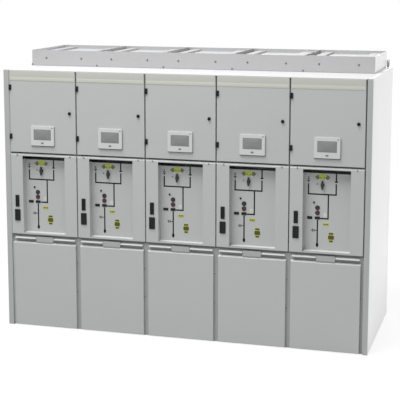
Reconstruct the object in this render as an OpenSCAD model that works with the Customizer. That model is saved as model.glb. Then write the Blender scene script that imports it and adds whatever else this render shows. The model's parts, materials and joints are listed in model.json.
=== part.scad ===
// Five-panel gas-insulated switchgear line-up, sizes in millimetres.
// X runs along the row, Y from the doors to the rear, Z up from the floor.

/* [Line-up] */
// Width of one panel from joint to joint
panel_w = 600; // [580:5:700]
// Height from the floor to the roof
height = 2200; // [2150:10:2400]
// Depth from the door faces to the rear panels
depth = 1240; // [1200:10:1500]
// Width of the cover at each end of the row
end_w = 47.5; // [42:0.5:60]

/* [Frame] */
// Thickness of doors and covers
skin = 2; // [1.5:0.5:2.5]
// Thickness of frame sheets and inner plates
sheet = 3; // [2:0.5:4]
// Outer bend radius of the folded edges
bend_r = 4; // [3:0.5:5]
// Height of the sloping fold along the upper edge of a cover
fold = 12; // [6:1:14]
// Distance of the posts behind the door faces
post_y = 25; // [24:1:30]
// Width of a post between two panels
post_w = 60; // [56:1:70]
// Depth of posts and cross rails
post_d = 45; // [40:1:48]
// Height of the base sills
sill_h = 60; // [40:5:80]

/* [Control compartment] */
// Height of the lower door edge
door_z = 1507; // [1480:1:1540]
// Gap between two doors
door_gap = 10; // [10:0.5:14]
// Depth of the folded door
door_d = 18; // [16:0.5:18]
// Height of the front lip of the roof
lip_h = 8; // [6:1:12]
// Gap between the roof lip and the door
lip_gap = 5; // [5:0.5:8]
// Distance from the door faces to the compartment's rear wall
lv_depth = 480; // [420:10:560]
// Margin of the mounting plate to the compartment walls
plate_margin = 45; // [35:5:80]
// Depth of the folded mounting plate
plate_d = 20; // [15:1:30]

/* [Hinges and lock] */
// Radius of a hinge knuckle
knuckle_r = 6; // [5:0.25:6]
// Height of a whole hinge
hinge_h = 45; // [36:1:60]
// Distance of each hinge from its door end, as a share of the door height
hinge_share = 0.196; // [0.12:0.002:0.3]
// Width of the hinge leaf on the door
leaf_w = 9; // [8:1:20]
// Radius of the hinge pin
pin_r = 2.5; // [2:0.25:3]
// Radius of the lock rosette
lock_r = 14; // [12:0.5:18]
// Distance from the right door edge to the lock
lock_in = 53; // [40:1:80]
// How far the lock stands out of the door
lock_t = 12; // [8:0.5:13]

/* [Display unit] */
// Width of the display frame
hmi_w = 210; // [190:2:240]
// Height of the display frame
hmi_h = 167; // [150:1:180]
// Thickness of the display frame in front of the door
hmi_t = 13; // [10:0.5:16]
// Height of the display frame above the lower door edge
hmi_up = 62; // [40:1:80]
// Width of the screen pocket
screen_w = 156; // [140:1:165]
// Height of the screen pocket
screen_h = 90; // [80:1:100]
// Depth of the housing behind the door face
hmi_back = 60; // [40:1:80]

/* [Mechanism cover] */
// Gap between the door and the cover under it
split_gap = 11; // [8:0.5:14]
// Height of the lower edge of the cover
mech_z = 803; // [790:1:830]
// Gap between two covers
mech_gap = 8; // [6:0.5:12]
// Width of the recess
recess_w = 380; // [360:2:400]
// Depth of the recess
recess_d = 60; // [50:1:80]
// Rise of the sloping sill at the foot of the recess
sill_rise = 4; // [2:1:20]
// Height of the strip under the recess
recess_low = 11; // [10:0.5:20]
// Height of the strip above the recess
recess_high = 23; // [20:0.5:30]
// Height of the dark slot above the operating plate
slot_h = 28; // [15:1:40]
// Distance from the door faces to the closed tank
tank_y = 200; // [160:5:240]

/* [Operating plate] */
// Place of the selector across the recess, as a share of its width
selector_share = 0.387; // [0.3:0.001:0.6]
// Height of the selector above the cover's lower edge
selector_up = 541; // [520:1:550]
// Length of the selector handle
handle_l = 73; // [60:1:74]
// Width of the selector handle across its middle
handle_w = 25; // [20:1:28]
// Radius of the selector handle's ends
tip_r = 4.5; // [3:0.5:8]
// Radius of the selector shaft
shaft_r = 5; // [4:0.5:6]
// Outer radius of the selector scale
scale_r = 92; // [70:1:94]
// Place of the push-buttons across the recess, as a share of its width
button_share = 0.288; // [0.25:0.001:0.5]
// Height of the lower button above the cover's lower edge
button_up = 316.3; // [300:0.1:330]
// Distance between the two buttons
button_pitch = 41.4; // [40:0.2:60]
// Radius of a button collar
button_r = 19; // [15:0.5:19.5]

/* [Voltage indicators] */
// Width of the test socket block
socket_w = 34; // [28:1:44]
// Height of the test socket block
socket_h = 100; // [80:1:110]
// Width of the voltage display
volt_w = 50; // [40:1:60]
// Height of the voltage display
volt_h = 98; // [80:1:110]
// How far both stand in front of the cover
volt_t = 8; // [5:0.5:12]
// Height of the voltage display above the cover's lower edge
volt_up = 114; // [90:1:125]
// Height of the test sockets above the cover's lower edge
socket_up = 235; // [225:1:260]

/* [Cable compartment] */
// Height of the upper edge of the cable cover
cable_top = 737; // [715:1:740]
// Gap between the cable cover and the floor
floor_gap = 8; // [4:1:20]
// Gap between two cable covers
cable_gap = 40; // [30:1:44]
// Thickness of a handling lip
lip_t = 4; // [3:0.5:6]
// Rise of a handling lip towards the rail
lip_rise = 11; // [4:1:12]
// Height of the lips above the cable cover
lip_up = 29; // [26:0.5:40]
// How far a handling lip stands in front of the covers
lip_out = 5; // [0:0.5:8]
// Width of the tab between the lips
tab_w = 152; // [120:2:156]

/* [Relief duct] */
// Distance from the door faces to the duct's front wall
duct_y = 480; // [480:5:600]
// Distance from the duct's rear wall to the rear panels
duct_rear = 25; // [20:1:60]
// Distance of the duct's ends from the ends of the row
duct_inset = 5; // [0:1:20]
// Height of the duct above the roof
duct_h = 136; // [110:2:160]
// Width of the folded flanges on the duct walls
duct_flange = 20; // [12:1:30]
// Depth of the trays under the duct's upper edge
tray_drop = 38; // [30:1:50]
// Width of the slot beside each partition
tray_slot = 45; // [30:1:60]
// Width of the relief flap
flap_w = 340; // [300:5:360]
// Height of the covers beside the flap
bar_h = 20; // [12:1:28]
// Thickness of the relief flap
flap_t = 5; // [3:0.5:8]

/* [Lifting lugs] */
// Width of a lug
lug_w = 22; // [20:1:40]
// Height of a lug above the roof
lug_h = 64; // [50:1:90]
// Thickness of a lug
lug_t = 10; // [6:1:14]
// Radius of the eye
lug_eye = 6; // [4:0.5:7]

/* [Hidden] */
$fn = 48;
panels = 5;
eps = 1;
fit = 0.05;
slip = 0.3;
row_w = panels * panel_w;
front_reach = max(hmi_t, knuckle_r * 2 + fit * 10);
face_y = (front_reach - depth) / 2;
rear_d = 15;
rear_y = depth - rear_d;
under_roof = height - sheet;
inner_y = post_y + post_d;
door_w = panel_w - door_gap;
door_h = height - lip_h - lip_gap - door_z;
door_top = door_z + door_h;
mech_w = panel_w - mech_gap;
mech_top = door_z - split_gap;
mech_h = mech_top - mech_z;
recess_x = (panel_w - recess_w) / 2;
recess_z = mech_z + recess_low;
recess_top = mech_top - recess_high;
plate_lap = 8;
lv_floor = mech_top + sheet / 2;
tank_gap = 3;
tank_z = mech_z - tank_gap;
rail_h = 24;
low_rail_h = min(rail_h, recess_high - sheet);
tank_top = lv_floor - sheet;
pin_x = door_gap / 2 + sheet;
pin_y = -knuckle_r - fit * 10;
bore_r = pin_r + fit;
arm_x = 0.8;
arm_w = 2.5;
hmi_x = (panel_w - hmi_w) / 2;
hmi_z = door_z + hmi_up;
hmi_inset = 10;
hmi_r = 9;
screen_t = 1.5;
screen_up = 93;
key_w = 32;
key_h = 15;
step_t = 4;
selector_x = recess_x + recess_w * selector_share;
selector_z = mech_z + selector_up;
scale_in = handle_l / 2 + 1;
scale_t = 1.5;
scale_half = 46;
button_x = recess_x + recess_w * button_share;
window_step = recess_w * 0.163;
window_w = 42;
window_h = 22;
window_t = 3;
window_rim = 3;
button_z = mech_z + button_up;
button_t = 9;
collar_t = 7;
collar_rim = 3;
grip_t = 16;
shaft_l = 4 * sheet;
key_r = 8;
socket_x = (recess_x + mech_gap / 2 - volt_w) / 2;
volt_z = mech_z + volt_up;
socket_z = mech_z + socket_up;
cable_w = panel_w - cable_gap;
cable_h = cable_top - floor_gap;
lip_z = cable_top + lip_up;
lip_x = cable_gap / 2 + 8;
lip_w = (panel_w - tab_w) / 2 - lip_x - lip_t;
tab_up = 7;
tab_room = 15;
tab_z = cable_top + tab_up;
tab_h = tank_z - tab_room - tab_z;
duct_top = height + duct_h;
duct_back = depth - duct_rear;
duct_run = duct_back - duct_y;
tray_top = duct_top - tray_drop;
part_x = 10;
lug_y = depth - 60;
end_gap = 1;

paint = [0.72, 0.73, 0.72];
white = [0.9, 0.9, 0.9];
grey = [0.52, 0.54, 0.53];
dark = [0.12, 0.12, 0.13];
steel = [0.66, 0.67, 0.68];
red = [0.55, 0.08, 0.08];
lime = [0.75, 0.8, 0.3];

// The child in the frame of joint k: X from the joint, Y from the door faces.
module at_joint(k) { translate([k * panel_w - row_w / 2, face_y, 0]) children(); }

// The child once in each panel.
module each_panel() { for (k = [0 : panels - 1]) at_joint(k) children(); }

// A box by its lower and upper corners.
module box(a, b) { translate(a) cube(b - a); }

// A rectangle with its two corners at the low Y side rounded.
module eased_front(w, d, r) {
  translate([0, r]) square([w, d - r]);
  translate([r, 0]) square([w - 2 * r, d]);
  for (x = [r, w - r]) translate([x, r]) circle(r = r);
}

// A rectangle with four rounded corners, centred.
module rounded(w, h, r) {
  square([w - 2 * r, h], center = true);
  square([w, h - 2 * r], center = true);
  for (x = [-1, 1], y = [-1, 1]) translate([x * (w / 2 - r), y * (h / 2 - r)]) circle(r = r);
}

// A block with rounded front edges, its front at Y = 0.
module eased_block(w, d, h) {
  intersection() {
    linear_extrude(h) eased_front(w, d, bend_r);
    translate([0, 0, h]) rotate([0, 90, 0]) linear_extrude(w) eased_front(h, d, bend_r);
  }
}

// A folded pan, open to the rear.
module pan(w, d, h) {
  difference() {
    eased_block(w, d, h);
    box([skin, skin, skin], [w - skin, d + eps, h - skin]);
  }
}

// The room under a sloping upper fold, drawn in by g.
module under_fold(w, d, h, g) {
  slab_x(-eps, w + eps) polygon([[-eps, -eps], [d + eps, -eps], [d + eps, h + eps],
    [fold + g + eps, h + eps], [-eps, h - fold - g - eps]]);
}

// A folded pan with a sloping fold along its upper edge.
module folded_pan(w, d, h) {
  difference() {
    intersection() {
      eased_block(w, d, h);
      under_fold(w, d, h, 0);
    }
    intersection() {
      box([skin, skin, skin], [w - skin, d + eps, h - skin]);
      under_fold(w, d, h, skin * sqrt(2));
    }
  }
}

// A folded channel between two corners, its open side to the rear.
module channel(a, b) {
  difference() {
    box(a, b);
    box([a[0] - eps, a[1] + sheet, a[2] + sheet], [b[0] + eps, b[1] + eps, b[2] - sheet]);
  }
}

// An extrusion along X of a profile drawn in Y and Z.
module slab_x(a, b) { translate([a, 0, 0]) rotate([90, 0, 90]) linear_extrude(b - a) children(); }

// An extrusion of a flat shape from depth a to b, drawn in X and Z.
module slab_y(a, b) { translate([0, b, 0]) rotate([90, 0, 0]) linear_extrude(b - a) children(); }

// A sill along the row, open to the inside of the base.
module base_sill() { slab_x(0, row_w) difference() {
    square([post_d, sill_h]);
    translate([sheet, sheet]) square([post_d, sill_h - 2 * sheet]);
  }
}

module base_sills() {
  color(grey) {
    at_joint(0) translate([0, post_y, 0]) base_sill();
    at_joint(0) translate([0, rear_y, 0]) mirror([0, 1, 0]) base_sill();
  }
}

module cross_sills() {
  color(grey) for (k = [0 : panels]) at_joint(k)
    difference() {
      box([k == 0 ? 0 : -post_w / 2, inner_y, 0], [k == panels ? 0 : post_w / 2, rear_y - post_d, sill_h]);
      box([(k == 0 ? 0 : -post_w / 2) + sheet, inner_y - eps, sheet],
        [(k == panels ? 0 : post_w / 2) - sheet, rear_y - post_d + eps, sill_h - sheet]);
    }
}

module front_posts() {
  color(grey) for (k = [0 : panels]) at_joint(k) {
    a = k == 0 ? -sheet / 2 : -post_w / 2;
    b = k == panels ? sheet / 2 : post_w / 2;
    difference() {
      box([a, post_y, sill_h], [b, inner_y, under_roof]);
      box([a + sheet, post_y + sheet, sill_h - eps], [b - sheet, inner_y + eps, under_roof + eps]);
    }
  }
}

module front_rails() {
  spans = [[lv_floor - low_rail_h, lv_floor], [under_roof - 2 * rail_h, under_roof]];
  color(grey) each_panel() for (z = spans)
    channel([post_w / 2, post_y, z[0]], [panel_w - post_w / 2, inner_y, z[1]]);
}

module panel_side_sheets() {
  color(steel) for (k = [0 : panels]) at_joint(k)
    box([-sheet / 2, inner_y, sill_h], [sheet / 2, rear_y, under_roof]);
}

module side_wall() {
  w = end_w - sheet / 2;
  difference() {
    box([0, post_y, 0], [w, depth, height]);
    box([-eps, post_y + skin, skin], [w - skin, depth - skin, height - skin]);
  }
}

module side_walls() {
  color(white) {
    at_joint(panels) translate([sheet / 2, 0, 0]) side_wall();
    at_joint(0) translate([-sheet / 2, 0, 0]) mirror([1, 0, 0]) side_wall();
  }
}

module end_profiles() {
  color(grey) {
    at_joint(0) translate([-end_w, 0, 0]) pan(end_w - end_gap, post_y, height);
    at_joint(panels) translate([door_gap / 2, 0, 0]) pan(end_w - door_gap / 2, post_y, height);
  }
}

module rear_panels() {
  color(paint) each_panel() for (z = [[skin, mech_top], [mech_top + split_gap, under_roof]])
    translate([skin, depth, z[0]]) mirror([0, 1, 0]) pan(panel_w - 2 * skin, rear_d, z[1] - z[0]);
}

module roof_panels() {
  color(white) each_panel() {
    box([fit, 0, under_roof], [panel_w - fit, depth, height]);
    box([fit, 0, height - lip_h], [panel_w - fit, skin, height]);
  }
}

module lv_floor_plates() {
  color(steel) each_panel()
    box([sheet / 2, inner_y, tank_top], [panel_w - sheet / 2, lv_depth, lv_floor]);
}

module lv_mounting_plates() {
  w = panel_w - 2 * plate_margin;
  h = under_roof - lv_floor - 2 * plate_margin;
  color(steel) each_panel() translate([plate_margin, lv_depth - plate_d, lv_floor + plate_margin])
    pan(w, plate_d, h);
}

module busbar_tanks() {
  color(steel) each_panel()
    box([sheet / 2, lv_depth, tank_top], [panel_w - sheet / 2, rear_y, under_roof]);
}

module breaker_tanks() {
  color(steel) each_panel()
    box([sheet / 2, tank_y, tank_z], [panel_w - sheet / 2, rear_y, tank_top]);
}

// The recess with its sloping sill, widened by g and lengthened by e at both ends.
module recess_form(g, e) {
  slope = sill_rise / recess_d;
  slab_x(recess_x - g, recess_x + recess_w + g)
    polygon([[-e, recess_z - g - e * slope], [recess_d + e, recess_z + sill_rise - g + e * slope],
      [recess_d + e, recess_top + g], [-e, recess_top + g]]);
}

module mechanism_cover() {
  difference() {
    union() {
      translate([mech_gap / 2, 0, mech_z]) folded_pan(mech_w, post_y, mech_h);
      recess_form(skin, 0);
    }
    recess_form(0, eps);
  }
}

module mechanism_covers() {
  color(paint) each_panel() mechanism_cover();
}

module operating_plates() {
  color(paint) each_panel() difference() {
    box([recess_x - plate_lap, recess_d, recess_z - plate_lap],
      [recess_x + recess_w + plate_lap, recess_d + sheet, recess_top - slot_h]);
    translate([selector_x, recess_d, selector_z]) rotate([90, 0, 0])
      cylinder(r = shaft_r + fit, h = shaft_l, center = true);
  }
}

module selector_scales() {
  far = 2 * scale_r;
  color(lime) each_panel() translate([selector_x, 0, selector_z]) slab_y(recess_d - scale_t, recess_d)
    intersection() {
      difference() {
        circle(r = scale_r);
        circle(r = scale_in);
      }
      polygon([[0, 0], [far * sin(scale_half), far * cos(scale_half)],
        [-far * sin(scale_half), far * cos(scale_half)]]);
    }
}

// A push-button with a collar, a groove and a hollowed cap, on the plate at the given height.
module button(z) {
  cap = button_r - 4;
  translate([button_x, recess_d, z]) rotate([90, 0, 0]) rotate_extrude()
    polygon([[0, 0], [button_r, 0], [button_r, button_t * 0.4], [button_r - 2, button_t * 0.55],
      [cap + 0.8, button_t * 0.55], [cap + 0.8, button_t * 0.3], [cap, button_t * 0.3],
      [cap, button_t * 0.9], [cap - 1, button_t],
      [cap * 0.6, button_t * 0.94], [0, button_t * 0.88]]);
}

module on_buttons() { color(dark) each_panel() button(button_z + button_pitch); }

module off_buttons() { color(red) each_panel() button(button_z); }

module position_indicators() {
  color(dark) each_panel() for (x = [0, -window_step])
    translate([button_x + x, 0, button_z - button_pitch]) difference() {
      slab_y(recess_d - window_t, recess_d) rounded(window_w, window_h, window_rim);
      slab_y(recess_d - window_t - eps, recess_d - window_t / 2)
        rounded(window_w - 2 * window_rim, window_h - 2 * window_rim, window_rim / 2);
    }
}

module key_switches() {
  color(dark) each_panel() translate([button_x - 1.5 * button_r, recess_d, button_z + 2 * button_pitch])
    rotate([90, 0, 0]) difference() {
      cylinder(r = key_r, h = 5);
      translate([-key_r / 2, -1, 3]) cube([key_r, 2, 4]);
    }
}

module voltage_sockets() {
  step = socket_h / 5;
  color(dark) each_panel() translate([socket_x + volt_w / 2, 0, socket_z + socket_h / 2]) {
    slab_y(-volt_t * 0.6, 0) rounded(socket_w, socket_h, 3);
    for (x = [-1, 1], k = [-1.5 : 1.5])
      translate([x * socket_w / 4, -volt_t * 0.6 + eps, k * step]) rotate([90, 0, 0]) rotate_extrude()
        polygon([[0, 0], [step * 0.36, 0], [step * 0.36, volt_t * 0.5], [step * 0.2, volt_t * 0.5],
          [step * 0.2, volt_t * 0.2], [0, volt_t * 0.2]]);
  }
}

module voltage_displays() {
  color(dark) each_panel() translate([socket_x + volt_w / 2, 0, volt_z + volt_h / 2]) difference() {
    union() {
      slab_y(-volt_t * 0.5, 0) rounded(volt_w, volt_h, 3);
      slab_y(-volt_t, 0) rounded(volt_w - 8, volt_h - 8, 3);
    }
    slab_y(-volt_t - eps, -volt_t * 0.6) rounded(volt_w * 0.5, volt_h * 0.7, 2);
  }
}

module cover_rails() {
  color(grey) each_panel()
    channel([post_w / 2, post_y, cable_top - rail_h], [panel_w - post_w / 2, inner_y, tab_z + tab_h]);
}

module rail_lips() {
  color(paint) each_panel() for (x = [lip_x, panel_w - lip_x - lip_w]) slab_x(x, x + lip_w)
    polygon([[-lip_out, lip_z], [post_y, lip_z + lip_rise], [post_y, lip_z + lip_rise + lip_t],
      [-lip_out, lip_z + lip_t]]);
}

module rail_tabs() {
  color(paint) each_panel()
    box([(panel_w - tab_w) / 2, 0, tab_z], [(panel_w + tab_w) / 2, post_y, tab_z + tab_h]);
}

module cable_covers() {
  color(paint) each_panel() translate([cable_gap / 2, 0, floor_gap]) folded_pan(cable_w, post_y, cable_h);
}

// The child at both hinges of a door, its lower end at Z = 0.
module each_hinge() {
  drop = door_h * hinge_share;
  for (z = [door_z + drop, door_top - drop]) translate([0, 0, z - hinge_h / 2]) children();
}

module hinge_brackets() {
  half = hinge_h / 2;
  color(dark) each_panel() each_hinge() {
    translate([pin_x, pin_y, 0]) cylinder(r = knuckle_r, h = half);
    translate([pin_x, pin_y, 0]) cylinder(r = pin_r, h = hinge_h - 2 * sheet);
    box([arm_x, pin_y - arm_w, 0], [arm_x + arm_w, post_y, half]);
  }
}

module door_leaf(k) {
  cut_w = hmi_w - 2 * hmi_inset + 2;
  cut_h = hmi_h - 2 * hmi_inset + 2;
  at_joint(k) difference() {
    translate([door_gap / 2, 0, door_z]) pan(door_w, door_d, door_h);
    translate([panel_w / 2 - cut_w / 2, -eps, hmi_z + hmi_h / 2 - cut_h / 2])
      cube([cut_w, bend_r + 2 * eps, cut_h]);
  }
}

// A quarter-turn lock: a dished rosette with a key bit standing in its well.
module lock() {
  translate([panel_w - door_gap / 2 - lock_in, 0, door_z + door_h / 2]) rotate([90, 0, 0]) {
    rotate_extrude() polygon([[0, 0], [lock_r, 0], [lock_r, lock_t * 0.3], [lock_r * 0.75, lock_t],
      [lock_r * 0.55, lock_t], [lock_r * 0.55, lock_t * 0.3], [lock_r * 0.25, lock_t * 0.3],
      [lock_r * 0.25, lock_t * 0.8], [0, lock_t * 0.8]]);
    translate([-lock_r * 0.4, -1, 0]) cube([lock_r * 0.8, 2, lock_t * 0.7]);
  }
}

module door_hinge() {
  half = hinge_h / 2;
  difference() {
    union() {
      translate([pin_x, pin_y, half + slip]) cylinder(r = knuckle_r, h = half - slip);
      box([pin_x, -knuckle_r, half + slip], [pin_x + knuckle_r + leaf_w, 0, hinge_h]);
    }
    translate([pin_x, pin_y, half - eps]) cylinder(r = bore_r, h = half - 2 * sheet + slip + eps);
  }
}

module fittings(k) {
  at_joint(k) {
    each_hinge() door_hinge();
    lock();
  }
}

module display(k) {
  w = hmi_w - 2 * hmi_inset;
  h = hmi_h - 2 * hmi_inset;
  at_joint(k) difference() {
    union() {
      translate([panel_w / 2, 0, hmi_z + hmi_h / 2]) {
        slab_y(step_t - hmi_t, 0) rounded(hmi_w, hmi_h, hmi_r);
        slab_y(-hmi_t, 0) rounded(hmi_w - step_t, hmi_h - step_t, hmi_r - step_t / 2);
      }
      translate([(panel_w - w) / 2, -eps, hmi_z + hmi_inset]) cube([w, hmi_back + eps, h]);
    }
    translate([panel_w / 2, 0, hmi_z + screen_up]) slab_y(-hmi_t - eps, screen_t - hmi_t)
      rounded(screen_w, screen_h, 3);
    translate([panel_w / 2, 0, hmi_z + (screen_up - screen_h / 2) / 2]) slab_y(-hmi_t - eps, screen_t - hmi_t)
      difference() {
        rounded(key_w, key_h, 6);
        rounded(key_w - 3, key_h - 3, 4.5);
      }
  }
}

module selector(k) {
  grip_y = recess_d - collar_t;
  half_w = handle_w / 2;
  tip_z = handle_l / 2 - tip_r;
  at_joint(k) translate([selector_x, 0, selector_z]) {
    translate([0, recess_d - slip, 0]) rotate([90, 0, 0])
      cylinder(r = handle_w / 2 + collar_rim, h = collar_t - slip);
    slab_y(grip_y - grip_t, grip_y) {
      polygon([[half_w, 0], [tip_r, tip_z], [-tip_r, tip_z],
        [-half_w, 0], [-tip_r, -tip_z], [tip_r, -tip_z]]);
      for (z = [-tip_z, tip_z]) translate([0, z]) circle(r = tip_r);
    }
    translate([0, recess_d + shaft_l, 0]) rotate([90, 0, 0]) cylinder(r = shaft_r, h = shaft_l + 2 * eps);
  }
}

module lv_door_1() { color(paint) door_leaf(0); }
module lv_door_2() { color(paint) door_leaf(1); }
module lv_door_3() { color(paint) door_leaf(2); }
module lv_door_4() { color(paint) door_leaf(3); }
module lv_door_5() { color(paint) door_leaf(4); }
module door_fittings_1() { color(dark) fittings(0); }
module door_fittings_2() { color(dark) fittings(1); }
module door_fittings_3() { color(dark) fittings(2); }
module door_fittings_4() { color(dark) fittings(3); }
module door_fittings_5() { color(dark) fittings(4); }
module display_unit_1() { color(white) display(0); }
module display_unit_2() { color(white) display(1); }
module display_unit_3() { color(white) display(2); }
module display_unit_4() { color(white) display(3); }
module display_unit_5() { color(white) display(4); }
module selector_handle_1() { color(dark) selector(0); }
module selector_handle_2() { color(dark) selector(1); }
module selector_handle_3() { color(dark) selector(2); }
module selector_handle_4() { color(dark) selector(3); }
module selector_handle_5() { color(dark) selector(4); }

// A duct wall along the row, folded in at its foot.
module duct_wall() { slab_x(duct_inset, row_w - duct_inset) {
    square([sheet, duct_h]);
    square([duct_flange, sheet]);
  }
}

module duct_long_walls() {
  color(paint) {
    at_joint(0) translate([0, duct_y, height]) duct_wall();
    at_joint(0) translate([0, duct_back, height]) mirror([0, 1, 0]) duct_wall();
  }
}

// The duct's inside, seen along the row, clear of the flanges of its long walls.
module duct_section() {
  translate([duct_y + sheet, sheet]) square([duct_run - 2 * sheet, duct_h - sheet]);
  translate([duct_y + duct_flange, 0]) square([duct_run - 2 * duct_flange, duct_h]);
}

module duct_end_walls() {
  color(paint) for (x = [duct_inset, row_w - duct_inset - sheet]) translate([x - row_w / 2, face_y, height])
    slab_x(0, sheet) duct_section();
}

module duct_partitions() {
  color(paint) for (k = [1 : panels - 1]) at_joint(k) translate([part_x, 0, height])
    slab_x(0, sheet) duct_section();
}

module duct_trays() {
  color(white) for (k = [0 : panels - 1]) at_joint(k) {
    b = panel_w + (k == panels - 1 ? -sheet - duct_inset : part_x);
    box([part_x + sheet + tray_slot, duct_y + sheet, tray_top - sheet], [b, duct_back - sheet, tray_top]);
  }
}

// A folded cover beside the flap, open to the tray under it.
module bar_cover(a, b) {
  difference() {
    box([a, duct_y + sheet, tray_top], [b, duct_back - sheet, tray_top + bar_h]);
    box([a + sheet, duct_y + 2 * sheet, tray_top - eps],
      [b - sheet, duct_back - 2 * sheet, tray_top + bar_h - sheet]);
  }
}

module flap_bars() {
  color(paint) for (k = [0 : panels - 1]) at_joint(k) {
    bar_cover(part_x + sheet + tray_slot, (panel_w - flap_w) / 2);
    bar_cover((panel_w + flap_w) / 2, panel_w + (k == panels - 1 ? -sheet - duct_inset : part_x));
  }
}

module relief_flaps() {
  color(white) each_panel()
    box([(panel_w - flap_w) / 2, duct_y + sheet, tray_top],
      [(panel_w + flap_w) / 2, duct_back - sheet, tray_top + flap_t]);
}

module lifting_lugs() {
  reach = (row_w + sheet + lug_w + eps) / 2;
  color(grey) for (s = [-1, 1]) translate([s * reach, face_y + lug_y, height]) difference() {
    translate([-lug_w / 2, 0, 0]) cube([lug_w, lug_t, lug_h]);
    translate([0, lug_t / 2, lug_h - lug_w / 2]) rotate([90, 0, 0])
      cylinder(r = lug_eye, h = lug_t + 2, center = true);
  }
}

base_sills();
cross_sills();
front_posts();
front_rails();
panel_side_sheets();
side_walls();
end_profiles();
rear_panels();
roof_panels();
lv_floor_plates();
lv_mounting_plates();
busbar_tanks();
breaker_tanks();
mechanism_covers();
operating_plates();
selector_scales();
on_buttons();
off_buttons();
position_indicators();
key_switches();
voltage_sockets();
voltage_displays();
cover_rails();
rail_lips();
rail_tabs();
cable_covers();
hinge_brackets();
duct_long_walls();
duct_end_walls();
duct_partitions();
duct_trays();
flap_bars();
relief_flaps();
lifting_lugs();
lv_door_1();
lv_door_2();
lv_door_3();
lv_door_4();
lv_door_5();
door_fittings_1();
door_fittings_2();
door_fittings_3();
door_fittings_4();
door_fittings_5();
display_unit_1();
display_unit_2();
display_unit_3();
display_unit_4();
display_unit_5();
selector_handle_1();
selector_handle_2();
selector_handle_3();
selector_handle_4();
selector_handle_5();
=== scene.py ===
# %% [markdown]
# # A row of gas-insulated switchgear panels
# Five medium-voltage panels stand side by side. The CAD model gives every sheet, door and
# handle its place, and this lesson dresses it: finishes for the CAD pieces, and the thin
# things that CAD leaves out, such as the printed diagram, the screens, screws and seals.
# We load the CAD model first.

# %% Load the frame
import json

import bmesh
import bpy
import numpy as np
from mathutils import Matrix


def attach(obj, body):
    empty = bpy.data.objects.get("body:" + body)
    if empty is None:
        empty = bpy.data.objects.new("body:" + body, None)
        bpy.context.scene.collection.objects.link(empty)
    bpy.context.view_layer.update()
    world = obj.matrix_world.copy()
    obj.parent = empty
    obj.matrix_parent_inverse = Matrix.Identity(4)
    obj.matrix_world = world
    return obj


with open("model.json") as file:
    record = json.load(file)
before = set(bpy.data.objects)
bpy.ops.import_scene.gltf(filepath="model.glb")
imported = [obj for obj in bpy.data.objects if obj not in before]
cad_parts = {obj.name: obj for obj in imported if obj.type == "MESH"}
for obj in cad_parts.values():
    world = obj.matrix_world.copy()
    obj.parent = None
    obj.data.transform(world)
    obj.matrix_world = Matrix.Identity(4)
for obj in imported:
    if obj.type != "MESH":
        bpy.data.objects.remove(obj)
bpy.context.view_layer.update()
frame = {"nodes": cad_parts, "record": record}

# %% [markdown]
# ## Lengths that many pieces share
# The dressing is drawn in millimetres, and only the finished meshes are in metres. Along the
# row we count from each panel's left joint, upwards from the floor, and inwards from the
# faces of the doors. A few planes carry most of the pieces, so they get names.

# %% Shared lengths
PANELS = range(5)
PANEL_WIDTH = 600.0
MIDDLE = 300            # a panel's middle, from its left joint
ROW_LEFT = -1500.0      # the first panel's left joint, along x
WALL_FACE = 1547.5      # the side walls' outer faces, along x, either way
DOOR_FACE = -613.5      # the doors' faces, along y; the depths below count from here
POST_DEPTH = 25.0       # front posts
SCALE_DEPTH = 58.5      # selector scales
PLATE_DEPTH = 60.0      # operating plates
MOUNTING_DEPTH = 460.0  # mounting plates behind the doors
DUCT_DEPTH = 480.0      # front wall of the duct
REAR_DEPTH = 1240.0     # rear covers
print("row:", len(PANELS), "panels of", PANEL_WIDTH, "mm")

# %% [markdown]
# ## The camera
# The picture's viewpoint was found by fitting a pinhole camera to the corners and joints of
# the row. A camera could be placed by eye and tracked to an empty, but then the joints of
# the panels would drift by a few pixels. Here the three turns of the fit become a rotation
# matrix, and the focal length in pixels becomes a lens in millimetres.

# %% Camera
IMAGE_SIDE = 400        # pixels
FOCAL_PIXELS = 1178.893
EYE = (2.742368, -9.63701, 3.016276)  # metres
YAW, PITCH, ROLL = -0.278106, 0.150638, 0.001136  # radians
SENSOR_WIDTH = 36       # millimetres
SHIFT_UP = -0.125       # as a share of the picture
FAR_LIMIT = 60          # metres


def turn(axis, angle):
    """A 3 by 3 turn about one of the axes X, Y or Z."""
    return np.array(Matrix.Rotation(angle, 3, axis))


to_camera = np.array([[1, 0, 0], [0, 0, -1], [0, 1, 0]], float)
right, down, ahead = turn("Z", ROLL) @ turn("X", PITCH) @ to_camera @ turn("Z", YAW)
camera_data = bpy.data.cameras.new("viewpoint")
camera_data.sensor_width = SENSOR_WIDTH
camera_data.lens = FOCAL_PIXELS / IMAGE_SIDE * camera_data.sensor_width
camera_data.shift_y = SHIFT_UP
camera_data.clip_end = FAR_LIMIT
camera = bpy.data.objects.new("viewpoint", camera_data)
pose = np.eye(4)
pose[:3, :3] = np.stack([right, -down, -ahead], 1)
pose[:3, 3] = EYE
camera.matrix_world = Matrix(pose.tolist())
bpy.context.scene.collection.objects.link(camera)
bpy.context.scene.camera = camera
print("camera: lens", round(camera_data.lens, 2), "mm")

# %% [markdown]
# ## Surfaces as arrays
# Most of the small pieces are plates, turned bodies or lines of even width. Each could be
# modelled from a primitive, but a surface is also just a grid of points: one parameter runs
# round a ring, the other from ring to ring. numpy works out the whole grid at once, and a
# fan closes the first and the last ring. All forms use millimetres in a flat frame of their
# own: u to the right, v up, w out towards the viewer.

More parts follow.
